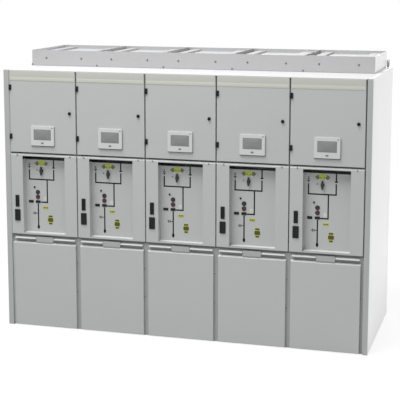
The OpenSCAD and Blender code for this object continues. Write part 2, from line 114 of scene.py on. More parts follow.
# %% Closed bodies from rings
def closed(rings):
    """Points of shape (rings, steps, 3) as a closed body: quads from each ring to the next,
    and at both ends a fan from the ring to its mean point."""
    count, steps = rings.shape[:2]
    points = np.concatenate([rings.reshape(-1, 3), rings[:1].mean(1), rings[-1:].mean(1)])
    ring, step = np.meshgrid(np.arange(count - 1), np.arange(steps), indexing="ij")
    after = (step + 1) % steps
    quads = np.stack([ring * steps + step, ring * steps + after,
                      (ring + 1) * steps + after, (ring + 1) * steps + step], -1).reshape(-1, 4)
    edge = np.arange(steps)
    following = (edge + 1) % steps
    last = (count - 1) * steps
    start = np.stack([following, edge, np.full(steps, count * steps)], -1)
    end = np.stack([last + edge, last + following, np.full(steps, count * steps + 1)], -1)
    return points, quads.tolist() + start.tolist() + end.tolist()


def lifted(flat, level):
    """Flat points of shape (rings, steps, 2) with a level as their third coordinate."""
    return np.concatenate([flat, np.broadcast_to(level, flat.shape[:2])[..., None]], -1)


def circle(angle):
    """Points of the unit circle at an array of angles."""
    return np.stack([np.cos(angle), np.sin(angle)], -1)


print("ring helpers:", [helper.__name__ for helper in (closed, lifted, circle)])

# %% Plates, turned bodies and lines
def plate(u, v, width, height, corner, low, high, ease=0.3, arc=5):
    """A plate centred at (u, v): quarter circles of radius corner about four centres make its
    outline, which runs straight from low to high and then draws in by ease on a quarter circle."""
    angle = np.arange(4)[:, None] * np.pi / 2 + np.linspace(0, np.pi / 2, arc)
    half = [width / 2 - corner, height / 2 - corner]
    centres = np.repeat([[1, 1], [-1, 1], [-1, -1], [1, -1]], arc, 0) * half
    bend = np.linspace(0, np.pi / 2, 3)
    radius = np.concatenate([[corner], corner - ease * (1 - np.cos(bend))])
    level = np.concatenate([[low], high - ease * (1 - np.sin(bend))])
    flat = centres + radius[:, None, None] * circle(angle).reshape(-1, 2) + [u, v]
    return closed(lifted(flat, level[:, None]))


def turned(u, v, radius, level, steps=20):
    """A body turned about a line through (u, v): a profile of (radius, level) goes round it."""
    round_it = circle(np.linspace(0, 2 * np.pi, steps, endpoint=False))
    flat = [u, v] + np.asarray(radius, float)[:, None, None] * round_it
    return closed(lifted(flat, np.asarray(level, float)[:, None]))


def ribbon(path, width, low, high):
    """A line of even width along a path: at each point the side step is the mean of the two
    neighbouring normals, made longer by the mitre, and a rectangle from low to high goes along."""
    path = np.asarray(path, float)
    along = np.diff(path, axis=0)
    along /= np.linalg.norm(along, axis=1, keepdims=True)
    side = np.stack([-along[:, 1], along[:, 0]], -1)
    before, after = np.vstack([side[:1], side]), np.vstack([side, side[-1:]])
    step = (before + after) / (1 + (before * after).sum(1, keepdims=True)) * width / 2
    flat = path[:, None] + np.array([1, -1, -1, 1])[:, None] * step[:, None]
    return closed(lifted(flat, [low, low, high, high]))


def slice_of(outline, low, high):
    """A flat shape with straight sides: its outline at low and again at high."""
    flat = np.broadcast_to(np.asarray(outline, float), (2, len(outline), 2))
    return closed(lifted(flat, [[low], [high]]))


def carried(profile, start, end):
    """A profile of (v, w) points carried straight along u from start to end."""
    points, faces = slice_of(profile, start, end)
    return points[:, [2, 0, 1]], faces


def raised(profile, low, high):
    """A profile of (u, w) points carried straight up v from low to high."""
    points, faces = slice_of(profile, low, high)
    return points[:, [0, 2, 1]], faces


print("forms:", [form.__name__ for form in (plate, turned, ribbon, slice_of, carried, raised)])

# %% [markdown]
# ## Placing forms on the row
# A form's flat frame is laid on one of the object's sides, at a point in millimetres, and all
# forms of one kind go into one mesh. The object itself stays at the origin, as the CAD
# pieces do, so every material can measure in the same metres. Normals are recalculated once,
# island by island, and each piece then rides on the body that carries it.

# %% Mesh builder
SIDES = {"front": [[1, 0, 0], [0, 0, 1], [0, -1, 0]], "rear": [[-1, 0, 0], [0, 0, 1], [0, 1, 0]],
         "right": [[0, 1, 0], [0, 0, 1], [1, 0, 0]], "left": [[0, -1, 0], [0, 0, 1], [-1, 0, 0]]}
SHARP_ANGLE = np.radians(35)


def placed(forms, origin, side="front"):
    """Forms moved from their flat frame to a side of the object: origin plus u, v and w times
    that side's three directions."""
    axes = np.array(SIDES[side], float)
    return [(np.asarray(origin, float) + points @ axes, faces) for points, faces in forms]


def at_panel(k, forms, depth=0.0):
    """Forms on panel k, with u from its left joint and v from the floor, at a depth."""
    return placed(forms, (ROW_LEFT + k * PANEL_WIDTH, DOOR_FACE + depth, 0))


def row_of(forms, depth=0.0):
    """The same forms on every panel."""
    return sum([at_panel(k, forms, depth) for k in PANELS], [])


def piece(name, forms, material, body="line_up"):
    """One mesh object of several placed forms, in metres, riding on a body."""
    starts = np.cumsum([0] + [len(points) for points, _ in forms])
    points = np.concatenate([points for points, _ in forms]) / 1000
    faces = [[int(i) + int(start) for i in face]
             for (_, form), start in zip(forms, starts) for face in form]
    mesh = bpy.data.meshes.new(name)
    mesh.from_pydata(points.tolist(), [], faces)
    work = bmesh.new()
    work.from_mesh(mesh)
    bmesh.ops.recalc_face_normals(work, faces=work.faces)
    work.to_mesh(mesh)
    work.free()
    mesh.materials.append(material)
    result = bpy.data.objects.new(name, mesh)
    bpy.context.scene.collection.objects.link(result)
    mesh.shade_smooth()
    mesh.set_sharp_from_angle(angle=SHARP_ANGLE)
    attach(result, body)
    print(name, "-", len(forms), "forms,", len(mesh.polygons), "faces on", body)


print("sides:", list(SIDES))

# %% [markdown]
# ## Shared surface effects
# Powder paint is never a flat colour. It has a fine orange-peel skin, drifts a little in
# brightness from sheet to sheet, is rubbed on its edges, and holds dust on faces that look
# up. The same group also paints light on faces that look up: painted shade on the mechanism
# covers' folds and a painted highlight on the cable covers' folds. Each of these is a node
# group, so that every finish can use it with its own values. The groups only put out colours,
# values and heights; the shader stays in the material.

# %% Node helpers
def add(tree, kind, *, props=None, **inputs):
    """A node with its properties set and its inputs given as values or linked from sockets.
    Inputs go by name, or by number as i0, i1 and so on."""
    made = tree.nodes.new(kind)
    for key, value in (props or {}).items():
        setattr(made, key, value)
    for key, value in inputs.items():
        numbered = key[0] == "i" and key[1:].isdigit()
        socket = made.inputs[int(key[1:]) if numbered else key.replace("_", " ")]
        if isinstance(value, bpy.types.NodeSocket):
            tree.links.new(value, socket)
        else:
            socket.default_value = value
    return made


def math(tree, operation, a, b=0.0, clamp=False):
    """The output of a Math node."""
    props = {"operation": operation, "use_clamp": clamp}
    return add(tree, "ShaderNodeMath", props=props, i0=a, i1=b).outputs[0]


def blend_colour(tree, factor, a, b, mode="MIX"):
    """The colour output of a Mix node; its colour sockets are numbers 6 and 7."""
    props = {"data_type": "RGBA", "blend_type": mode}
    return add(tree, "ShaderNodeMix", props=props, i0=factor, i6=a, i7=b).outputs[2]


def object_coords(tree):
    """The Object coordinates, which are metres in the frame of the whole row."""
    return add(tree, "ShaderNodeTexCoord").outputs["Object"]


def noise(tree, scale, detail):
    """A noise value between 0 and 1 in Object coordinates."""
    return add(tree, "ShaderNodeTexNoise", Vector=object_coords(tree), Scale=scale,
               Detail=detail).outputs["Fac"]


def new_group(name, inputs, outputs):
    """An empty shader group with sockets given as (name, type, default)."""
    group = bpy.data.node_groups.new(name, "ShaderNodeTree")
    for label, kind, value in inputs:
        socket = group.interface.new_socket(label, in_out="INPUT", socket_type="NodeSocket" + kind)
        socket.default_value = value
    for label, kind in outputs:
        group.interface.new_socket(label, in_out="OUTPUT", socket_type="NodeSocket" + kind)
    made = group.nodes.new
    return group, made("NodeGroupInput").outputs, made("NodeGroupOutput").inputs


print("helpers:", [helper.__name__ for helper in (add, math, blend_colour, noise, new_group)])

# %% Paint skin and colour drift
WHITE = (1, 1, 1, 1)
FINE_PEEL, COARSE_PEEL = 900, 210  # noise scales

skin, given, out = new_group("paint_skin", [("Roughness", "Float", 0.4), ("Spread", "Float", 0.08)],
                             [("Height", "Float"), ("Roughness", "Float")])
fine, coarse = noise(skin, FINE_PEEL, 1), noise(skin, COARSE_PEEL, 2)
skin.links.new(math(skin, "ADD", math(skin, "MULTIPLY", fine, 0.4), coarse), out["Height"])
shift = math(skin, "MULTIPLY", math(skin, "SUBTRACT", coarse, 0.5), given["Spread"])
skin.links.new(math(skin, "ADD", given["Roughness"], shift), out["Roughness"])

drift, given, out = new_group(
    "colour_drift", [("Colour", "Color", WHITE), ("Amount", "Float", 0.06),
                     ("Scale", "Float", 1.6)], [("Colour", "Color")])
swing = math(drift, "SUBTRACT", noise(drift, given["Scale"], 3.0), 0.5)
level = math(drift, "ADD", math(drift, "MULTIPLY", swing, given["Amount"]), 1.0)
drift.links.new(blend_colour(drift, 1.0, given["Colour"], level, "MULTIPLY"), out["Colour"])
print("groups:", [group.name for group in bpy.data.node_groups])

# %% Edge rub, and dust and painted light on upward faces
DUST_TONE = (0.62, 0.6, 0.56, 1.0)
RUB_PATCHES, DUST_AND_LIGHT_PATCHES = 45, 14  # noise scales

rub, given, out = new_group(
    "edge_rub", [("Colour", "Color", WHITE), ("Rubbed", "Color", WHITE), ("Amount", "Float", 0.3),
                 ("Radius", "Float", 0.0015)], [("Colour", "Color"), ("Mask", "Float")])
rounded = add(rub, "ShaderNodeBevel", props={"samples": 4}, Radius=given["Radius"]).outputs[0]
flatness = add(rub, "ShaderNodeVectorMath", props={"operation": "DOT_PRODUCT"}, i0=rounded,
               i1=add(rub, "ShaderNodeNewGeometry").outputs["True Normal"]).outputs["Value"]
edge = math(rub, "MULTIPLY", math(rub, "SUBTRACT", 1.0, flatness), 4.0, clamp=True)
patchy = math(rub, "MULTIPLY", edge, noise(rub, RUB_PATCHES, 3))
mask = math(rub, "MULTIPLY", patchy, given["Amount"], clamp=True)
rub.links.new(mask, out["Mask"])
rub.links.new(blend_colour(rub, mask, given["Colour"], given["Rubbed"]), out["Colour"])

# Faces that look up take a tone in patches: dust on most finishes, and painted light on the covers,
# painted shade on the mechanism covers' folds and a painted highlight on the cable covers' folds.
dust_and_top_light, given, out = new_group(
    "settled_dust_and_top_light", [("Colour", "Color", WHITE), ("Dust", "Color", DUST_TONE),
                     ("Amount", "Float", 0.2)], [("Colour", "Color"), ("Mask", "Float")])
upward = add(dust_and_top_light, "ShaderNodeSeparateXYZ",
             Vector=add(dust_and_top_light, "ShaderNodeNewGeometry").outputs["Normal"]).outputs["Z"]
steep = math(dust_and_top_light, "POWER", math(dust_and_top_light, "MAXIMUM", upward, 0.0), 3.0)
top_patches = math(dust_and_top_light, "MULTIPLY", steep, noise(dust_and_top_light, DUST_AND_LIGHT_PATCHES, 4))
mask = math(dust_and_top_light, "MULTIPLY", top_patches, given["Amount"], clamp=True)
dust_and_top_light.links.new(mask, out["Mask"])
dust_and_top_light.links.new(blend_colour(dust_and_top_light, mask, given["Colour"], given["Dust"]), out["Colour"])
print("groups:", [group.name for group in bpy.data.node_groups])

# %% [markdown]
# ## Finishes
# A finish is a Principled shader fed by these groups. Powder-painted sheet, moulded plastic
# and printed film share one recipe with different values. Zinc-coated steel needs its own:
# its crystals are Voronoi cells that differ in brightness and gloss. Values that are the
# same all over, such as the coat's roughness, are set on the shader itself.

# %% Finish recipes
def use(tree, group, **inputs):
    """A placed node group."""
    return add(tree, "ShaderNodeGroup", props={"node_tree": group}, **inputs)


def shader_of(name):
    """A new material with its tree and its Principled shader."""
    made = bpy.data.materials.new(name)
    made.use_nodes = True
    return made, made.node_tree, made.node_tree.nodes["Principled BSDF"]


def constants(shader, **values):
    """Values that are the same all over, set on the shader's own sockets."""
    for key, value in values.items():
        shader.inputs[key.replace("_", " ")].default_value = value


def lit(red, green, blue):
    """An sRGB colour of 0 to 255 as the linear colour a shader works in."""
    value = np.array([red, green, blue]) / 255
    value = np.where(value <= 0.04045, value / 12.92, ((value + 0.055) / 1.055) ** 2.4)
    return tuple(map(float, value)) + (1.0,)


def coated(name, colour, rough, peel=0.15, drifting=0.05, rubbed=0.2, dust_and_top_light_amount=0.1, shine=0.5,
           coat=0.0, dust_and_top_light_tone=DUST_TONE):
    """Paint, plastic or film: the colour drifts, is rubbed at its edges and holds dust on faces
    that look up, where a strong tone paints shade on the mechanism covers' folds and a highlight
    on the cable covers' folds; the skin gives roughness and the height of the bump."""
    made, tree, shader = shader_of(name)
    base = use(tree, drift, Colour=colour, Amount=drifting).outputs["Colour"]
    pale = tuple(min(1.0, c * 1.25 + 0.06) for c in colour[:3]) + (1.0,)
    worn = use(tree, rub, Colour=base, Rubbed=pale, Amount=rubbed).outputs["Colour"]
    tops_toned = use(tree, dust_and_top_light, Colour=worn, Dust=dust_and_top_light_tone, Amount=dust_and_top_light_amount).outputs["Colour"]
    tree.links.new(tops_toned, shader.inputs["Base Color"])
    surface = use(tree, skin, Roughness=rough, Spread=0.12).outputs
    tree.links.new(surface["Roughness"], shader.inputs["Roughness"])
    bump = add(tree, "ShaderNodeBump", Strength=peel, Distance=0.0004, Height=surface["Height"])
    tree.links.new(bump.outputs[0], shader.inputs["Normal"])
    constants(shader, Specular_IOR_Level=shine, Coat_Weight=coat, Coat_Roughness=0.15)
    return made


def zinc_coated(name, colour, rough, cells):
    """Zinc-coated steel: Voronoi cells in Object coordinates set the brightness and the gloss."""
    made, tree, shader = shader_of(name)
    crystal = add(tree, "ShaderNodeTexVoronoi", Vector=object_coords(tree), Scale=cells)
    value = add(tree, "ShaderNodeSeparateColor", Color=crystal.outputs["Color"]).outputs["Red"]
    level = math(tree, "ADD", math(tree, "MULTIPLY", value, 0.22), 0.86)
    drifted = use(tree, drift, Colour=colour, Amount=0.1).outputs["Colour"]
    base = blend_colour(tree, 1.0, drifted, level, "MULTIPLY")
    tops_toned = use(tree, dust_and_top_light, Colour=base, Amount=0.15).outputs["Colour"]
    tree.links.new(tops_toned, shader.inputs["Base Color"])
    gloss = math(tree, "ADD", math(tree, "MULTIPLY", value, 0.14), rough)
    tree.links.new(gloss, shader.inputs["Roughness"])
    bump = add(tree, "ShaderNodeBump", Strength=0.1, Distance=0.0003, Height=noise(tree, 700, 2))
    tree.links.new(bump.outputs[0], shader.inputs["Normal"])
    constants(shader, Metallic=0.85)
    return made


print("recipes:", [recipe.__name__ for recipe in (coated, zinc_coated)])

# %% [markdown]
# Doors, mechanism covers and cable covers have one colour. Only the tone on their folds that
# look up differs, and it is painted light laid on through the dust group: painted shade, a grey,
# on the mechanism covers, which keeps those folds from glaring under the high light, and a
# painted highlight, a pale tone, on the cable covers.

# %% Paints, steels and plastics
FRONT_GREY = lit(188, 190, 189)
MOULDED = {"peel": 0.3, "drifting": 0.2, "rubbed": 0.1, "dust_and_top_light_amount": 0.0}

front_paint = coated("front_paint", FRONT_GREY, 0.42, dust_and_top_light_amount=0.05)
# Painted shade: a grey tone on the mechanism covers' upward folds.
cover_paint_shaded_tops = coated("cover_paint_shaded_tops", FRONT_GREY, 0.42, dust_and_top_light_amount=0.9, dust_and_top_light_tone=lit(106, 106, 104))
# Painted highlight: a pale tone on the cable covers' upward folds.
cable_paint_lit_tops = coated("cable_paint_lit_tops", FRONT_GREY, 0.42, dust_and_top_light_amount=0.9, dust_and_top_light_tone=lit(230, 230, 229))
# Roofs and side walls: a paler paint, set whiter than the front partly as painted light, for the
# brighter light on the roof and the right-hand wall.
white_paint = coated("white_paint", lit(212, 212, 213), 0.45, dust_and_top_light_amount=0.05)
frame_paint = coated("frame_paint", lit(172, 174, 173), 0.45)
# Painted highlight: the rail lips are a paler grey for the light on their tops.
lip_highlight_paint = coated("lip_highlight_paint", lit(211, 213, 212), 0.45)
edge_paint = coated("edge_paint", lit(177, 179, 179), 0.45)
duct_paint = coated("duct_paint", lit(179, 179, 180), 0.48)
bay_paint = coated("bay_paint", lit(180, 180, 181), 0.75, shine=0.06)
flap_paint = coated("flap_paint", lit(190, 191, 192), 0.7, shine=0.1)
lug_paint = coated("lug_paint", lit(172, 174, 174), 0.5)
# Painted shade: the cover rails are a darker grey for the shade under the lips.
rail_shade_paint = coated("rail_shade_paint", lit(150, 152, 151), 0.5)
inner_steel = zinc_coated("inner_steel", lit(176, 179, 181), 0.32, 55)
bright_steel = zinc_coated("bright_steel", lit(150, 152, 154), 0.38, 90)
black_plastic = coated("black_plastic", lit(24, 25, 26), 0.45, shine=0.22, **MOULDED)
grip_plastic = coated("grip_plastic", lit(50, 52, 53), 0.5, shine=0.25, **MOULDED)
red_plastic = coated("red_plastic", lit(76, 34, 43), 0.4, peel=0.05, drifting=0.1, rubbed=0.1,
                     dust_and_top_light_amount=0.0, shine=0.3, coat=0.1)
scale_film = coated("scale_film", lit(204, 206, 202), 0.5, peel=0.05, drifting=0.15, dust_and_top_light_amount=0.02)
display_plastic = coated("display_plastic", lit(208, 210, 209), 0.4, peel=0.25, dust_and_top_light_amount=0.05)
print("finishes:", len(bpy.data.materials))

# %% Finishes on the CAD pieces
by_slot = {"front_paint": front_paint, "white_paint": white_paint, "frame_paint": frame_paint,
           "duct_paint": duct_paint, "inner_steel": inner_steel, "bright_steel": bright_steel,
           "black_plastic": black_plastic, "red_plastic": red_plastic, "scale_label": scale_film,
           "display_frame": display_plastic}
by_node = {"mechanism_covers": cover_paint_shaded_tops, "cable_covers": cable_paint_lit_tops,
           "end_profiles": edge_paint, "flap_bars": bay_paint, "duct_trays": bay_paint,
           "relief_flaps": flap_paint, "cover_rails": rail_shade_paint, "rail_lips": lip_highlight_paint,
           "rail_tabs": frame_paint, "lifting_lugs": lug_paint, "on_buttons": grip_plastic}
by_node.update({f"selector_handle_{k + 1}": grip_plastic for k in PANELS})
for part in frame["record"]["subparts"]:
    finish = by_node.get(part["node"], by_slot[part["material_slot"]])
    for slot in frame["nodes"][part["node"]].material_slots:
        slot.material = finish

# %% [markdown]
# ## The printed diagram
# On the plate in the recess, thick black lines show how the busbar, the three-position switch
# and the breaker are joined. They could be painted into the plate's material, but a film
# that lies on the plate keeps crisp edges from near and far, so each line is a ribbon 0.4 mm
# thick. One ribbon follows one run of the diagram, corners included.

# %% Mimic diagram
PRINTED = {"peel": 0.05, "drifting": 0.2, "dust_and_top_light_amount": 0.0}
FILM = (-0.1, 0.4)      # from inside the plate to the film's face
LINE = 11.0             # width of the main lines
EARTH, BUSBAR, BREAKER, CABLE = 144.5, 366, 305, 220.5  # the upright lines, along u
mimic_film = coated("mimic_film", lit(15, 16, 16), 0.5, rubbed=0.05, shine=0.15, **PRINTED)


def dash(u, v, length, width, levels=FILM):
    """A short level line centred at (u, v)."""
    return ribbon([(u - length / 2, v), (u + length / 2, v)], width, *levels)


runs = [[(EARTH, 1354), (EARTH, 1270), (BUSBAR, 1270), (BUSBAR, 1357)],
        [(BUSBAR, 1368), (BUSBAR, 1440)],
        [(BREAKER, 1274), (BREAKER, 1075), (243, 1075)],
        [(CABLE, 1063), (CABLE, 866)]]
cable_end = [(CABLE, 838), (231, 852), (231, 866), (CABLE, 888), (210, 866), (210, 852)]
diagram = [ribbon(run, LINE, *FILM) for run in runs]
diagram += [dash(EARTH, v, length, 7) for length, v in ((11, 1405), (17, 1392), (23, 1379))]
diagram.append(ribbon([(EARTH, 1363), (EARTH, 1380)], 8, *FILM))
diagram.append(dash(BUSBAR, 1374, 24, 10, (-0.1, 0.6)))
diagram.append(slice_of(cable_end, *FILM))
diagram += [ribbon([(u, 965), (u, 989)], 6, *FILM) for u in (181, 194)]
diagram += [ribbon([(a, 977), (b, 977)], 5, *FILM) for a, b in ((170, 181), (194, 216))]
piece("mimic_diagram", row_of(diagram, PLATE_DEPTH), mimic_film)

# %% [markdown]
# ## The selector's scale and the yellow plates
# The fan behind the selector is printed in fields: lime in the middle, with two dark marks,
# and a moss green field at either end. A pale red dot is printed beside the lever. Below sits
# a yellow tag with three small bars, and lower down the yellow plate through whose dark
# shutters the drive can be cranked by hand. They are thin plates too, each a fraction of a
# millimetre proud of what carries it.

# %% Scale fields
SELECTOR = (257.06, 1344.0)  # the lever's axis
SCALE_FILM = (-0.1, 0.3)
MARKS = (0.2, 0.5)
lime_film = coated("lime_film", lit(184, 194, 84), 0.5, **PRINTED)
rose_film = coated("rose_film", lit(142, 124, 126), 0.5, **PRINTED)
moss_film = coated("moss_film", lit(104, 105, 66), 0.5, **PRINTED)


def sector(inner, outer, start, end, low, high, steps=14):
    """A piece of a ring about the selector: out along one radius, round, and back along another.
    Angles are in degrees from straight up, to the right."""
    sweep = np.radians(np.linspace(start, end, steps))
    arc = np.stack([np.sin(sweep), np.cos(sweep)], -1)
    strip = np.stack([arc * inner, arc * outer], 1) + SELECTOR
    corners = np.concatenate([strip, strip[:, ::-1]], 1)
    return closed(lifted(corners, [low, low, high, high]))


middle = [sector(46, 90, -21, 21, *SCALE_FILM)]
ends = [sector(58, 90, start, start + 22, *SCALE_FILM) for start in (-44, 22)]
red_dot = [turned(214, 1351, [7.5, 7.5, 6.5], [-0.1, 0.3, 0.5])]
marks = [sector(58, 65, at - 3, at + 3, *MARKS) for at in (-13, 13)]
piece("scale_middle", row_of(middle, SCALE_DEPTH), lime_film)
piece("scale_ends", row_of(ends, SCALE_DEPTH), moss_film)
piece("scale_dots", row_of(red_dot, PLATE_DEPTH), rose_film)
piece("scale_marks", row_of(marks, SCALE_DEPTH), mimic_film)

# %% Tags and crank plate
CRANK = 331             # the crank plate's middle, along u
TAG = (288, 1029)       # the yellow tag's middle
yellow_film = coated("yellow_film", lit(190, 188, 88), 0.45, peel=0.06, drifting=0.25, dust_and_top_light_amount=0.0)
olive_shutter = coated("olive_shutter", lit(66, 67, 16), 0.45, peel=0.1, drifting=0.2, dust_and_top_light_amount=0.0)
yellow = [plate(*TAG, 50, 26, 2, -0.1, 0.6), plate(CRANK, 949, 40, 34, 8, -0.1, 1.0),
          plate(CRANK, 926, 52, 42, 12, -0.1, 1.2), plate(CRANK, 898, 36, 26, 8, -0.1, 1.0)]
dark = [plate(CRANK, 956, 36, 15, 4, 0.9, 1.6), plate(CRANK, 926, 46, 34, 9, 1.1, 1.9),
        plate(CRANK, 895, 29, 14, 4, 0.9, 1.6)]
dark += [plate(TAG[0] + u, TAG[1], 10, 11, 1, 0.5, 0.8) for u in (-14, 0, 14)]
# A small pale patch above the yellow tag.
pale_patch = [plate(282, 1101, 26, 36, 3, -0.1, 0.5)]
piece("drive_plate", row_of(yellow, PLATE_DEPTH), yellow_film)
piece("pale_patches", row_of(pale_patch, PLATE_DEPTH), scale_film)
piece("drive_shutters", row_of(dark, PLATE_DEPTH), olive_shutter)

# %% [markdown]
# ## Strips between the covers
# Long thin lines part the covers, and what lies in the gaps decides how bright those lines
# are. A pale strip lies on each recess's sill as a painted highlight, for the light that falls on
# the ledge from above; a foot closes the gap under each rail tab, and a grey seal fills the gap
# above each rail.

# %% Sill strips, tab feet and rail seals
SILL = [(815.26, -19), (818.0, -58.5), (818.6, -58.5), (815.9, -19)]
# Painted highlight: the pale sill strips stand for the light falling on each recess's ledge.
sill_highlight_paint = coated("sill_highlight_paint", lit(208, 209, 209), 0.5)
rail_seal = coated("rail_seal", lit(122, 124, 123), 0.6, dust_and_top_light_amount=0.0, shine=0.2)
tab_foot = plate(MIDDLE, 740.5, 152, 8, 0.5, -22, -2)
over_rail = plate(MIDDLE, 794, 576, 17.6, 1, -24, -20)
piece("sill_highlight_strips", row_of([carried(SILL, 112, 488)]), sill_highlight_paint)
piece("tab_feet", row_of([tab_foot]), frame_paint)
piece("rail_seals", row_of([over_rail]), rail_seal)

# %% [markdown]
# ## Door fronts
# Each door carries a header strip and a display. The strip is a drawn profile with a soft
# foot, and a paler band lies on its lower half as a painted highlight, for the light that the
# lower half catches from above; each is one profile carried along the door.
# The display's screen lies in the pocket that the CAD frame has, and its glass is a coat over
# a dark grey panel with a faint row pattern. Keys, a dark gasket round the frame, whose edge
# below the frame also stands for the frame's shadow as painted shade, and caps under the
# hinges go with the door as well.

# %% Header strips
HEADER = [(2110, -0.1), (2110, 0.9), (2110.6, 1.5), (2112, 1.7), (2190, 1.9), (2193, 1.7),
          (2195, 1.1), (2195, 0.8), (2181, 0.8), (2181, -0.1)]
HIGHLIGHT_BAND = [(2112, 1.5), (2112, 1.9), (2113, 2.1), (2140, 2.2), (2141, 2.0), (2141, 1.6)]
STRIP_LOOK = {"peel": 0.08, "drifting": 0.06, "dust_and_top_light_amount": 0.05}
header_film = coated("header_film", lit(192, 193, 186), 0.45, **STRIP_LOOK)
# Painted highlight: the paler band stands for the light that the strip's lower half catches from
# above.
band_highlight_film = coated("band_highlight_film", lit(200, 202, 191), 0.45, **STRIP_LOOK)
header, highlight_band = [carried(HEADER, 10, 590)], [carried(HIGHLIGHT_BAND, 11, 589)]
for k in PANELS:
    door = f"door_{k + 1}"
    piece(f"header_strip_{k + 1}", at_panel(k, header), header_film, door)
    piece(f"header_highlight_band_{k + 1}", at_panel(k, highlight_band), band_highlight_film, door)

# %% Screen glass
def screen_finish(name, colour):
    """A display panel behind glass: fine rows from a wave along Z darken the colour, and a coat
    gives the glass its gloss."""
    made, tree, shader = shader_of(name)
    wave = add(tree, "ShaderNodeTexWave", props={"bands_direction": "Z"},
               Vector=object_coords(tree), Scale=250.0).outputs["Fac"]
    level = math(tree, "ADD", math(tree, "MULTIPLY", wave, 0.06), 0.96)
    drifted = use(tree, drift, Colour=colour, Amount=0.08, Scale=9.0).outputs["Colour"]
    base = blend_colour(tree, 1.0, drifted, level, "MULTIPLY")
    tree.links.new(base, shader.inputs["Base Color"])
    surface = use(tree, skin, Roughness=0.5, Spread=0.1).outputs
    tree.links.new(surface["Roughness"], shader.inputs["Roughness"])
    constants(shader, Coat_Weight=0.25, Coat_Roughness=0.2)
    return made


screen_glass = screen_finish("screen_glass", lit(131, 133, 132))
print("finish:", screen_glass.name)

# %% Displays and hinge caps
RUBBER = {"peel": 0.2, "drifting": 0.2, "rubbed": 0.05, "dust_and_top_light_amount": 0.0, "shine": 0.1}
key_grey = coated("key_grey", lit(112, 115, 113), 0.4, peel=0.1, drifting=0.1, dust_and_top_light_amount=0.0, shine=0.3)
# Partly painted shade: the dark gasket's edge below each display frame stands for the frame's
# shadow.
gasket_and_shade_grey = coated("gasket_and_shade_grey", lit(58, 60, 60), 0.7, **RUBBER)
screen = [plate(MIDDLE, 1662, 155, 89, 2.6, 11.4, 12.1)]
keys = [plate(MIDDLE, 1593, 21, 11, 5, 12.9, 14.4, 0.5), plate(387, 1720, 13, 7, 3, 12.9, 13.6)]
caps = [plate(19, hinge - 11.5, 8, 20, 1.5, -0.1, 8, 0.8) for hinge in (1640.3, 2053.7)]
gasket_and_shade = [plate(MIDDLE, 1649.5, 212, 172, 9, -0.2, 3.0, 0.8)]
for k in PANELS:
    door = f"door_{k + 1}"
    piece(f"screen_{k + 1}", at_panel(k, screen), screen_glass, door)
    piece(f"display_keys_{k + 1}", at_panel(k, keys), key_grey, door)
    piece(f"hinge_caps_{k + 1}", at_panel(k, caps), black_plastic, door)
    piece(f"display_gasket_and_shade_{k + 1}", at_panel(k, gasket_and_shade), gasket_and_shade_grey, door)

# %% [markdown]
# ## Screws, bolts and seals
# A cabinet of folded sheet is held by dozens of screws. Each head is a turned profile with a
# shallow drive recess, only a few rings high. Behind the gaps between panels lie grey seals,
# lighter between the doors than between the covers below, so the gaps read as thin lines
# and not as black slits. The left end has a slim strip and a filler of its own. Black edging
# lines the top of each recess as painted shade: dark sheets that widen the dark slot there and
# stand for the shadow under the recess's top. The grey gasket along the duct's foot is partly
# painted shade too, for the dark line where the duct meets the roof.

# %% Screws
screw_zinc = zinc_coated("screw_zinc", lit(120, 122, 124), 0.35, 400)


def screws(across, heights, radius):
    """Low domed screw heads with a round drive recess, at each u and v."""
    share = np.array([1.0, 1.0, 0.86, 0.5, 0.42, 0.38, 0.05])
    rise = np.array([-0.05, 0.28, 0.44, 0.52, 0.5, 0.2, 0.2])
    return [turned(u, v, radius * share, radius * rise, 16) for u in across for v in heights]


cover_screws = row_of(screws((64, 540), (1482,), 6.5))
post_screws = sum([at_panel(k, screws((586,), (329, 571), 5), POST_DEPTH) for k in PANELS[:4]], [])
post_screws += at_panel(4, screws((583,), (225, 451), 5), POST_DEPTH)
post_screws += at_panel(0, screws((13,), (225, 451), 5), POST_DEPTH)
duct_bolts = row_of(screws((138, 463), (2268,), 8) + screws((6,), (2212,), 7), DUCT_DEPTH)
piece("front_screws", cover_screws + post_screws + duct_bolts, screw_zinc)

rear = screws((18, 582), (30, 390, 750, 1110, 1468, 1535, 1850, 2165), 5)
rear_joints = [ROW_LEFT + (k + 1) * PANEL_WIDTH for k in PANELS]
rear_screws = sum([placed(rear, (x, DOOR_FACE + REAR_DEPTH, 0), "rear") for x in rear_joints], [])
piece("rear_screws", rear_screws, screw_zinc)

WALL_HEIGHTS = (60, 580, 1100, 1620, 2140)
wall_screws = placed(screws((60, 1205), WALL_HEIGHTS, 5), (WALL_FACE, DOOR_FACE, 0), "right")
wall_screws += placed(screws((-60, -1205), WALL_HEIGHTS, 5), (-WALL_FACE, DOOR_FACE, 0), "left")
piece("wall_screws", wall_screws, white_paint)

# %% Seals behind the gaps
COVER_SPAN, DOOR_SPAN = (790, 1495), (1495.5, 2190)  # heights
seal_rubber = coated("seal_rubber", lit(95, 97, 96), 0.7, **RUBBER)
door_rubber = coated("door_rubber", lit(136, 138, 137), 0.7, **RUBBER)


def gap_seal(left, right, low, high):
    """An upright seal from left to right of a joint, with its front edges eased."""
    profile = [(left, 0), (left, 2.5), (left + 1, 3.5), (right - 1, 3.5), (right, 2.5), (right, 0)]
    return [raised(profile, low, high)]


for name, rubber, span in (("gap_seals", seal_rubber, COVER_SPAN),
                           ("door_seals", door_rubber, DOOR_SPAN)):
    seals = sum([at_panel(k, gap_seal(-13, 13, *span), POST_DEPTH) for k in PANELS[1:]], [])
    seals += at_panel(len(PANELS), gap_seal(-14, -1, *span), POST_DEPTH)
    piece(name, seals, rubber)

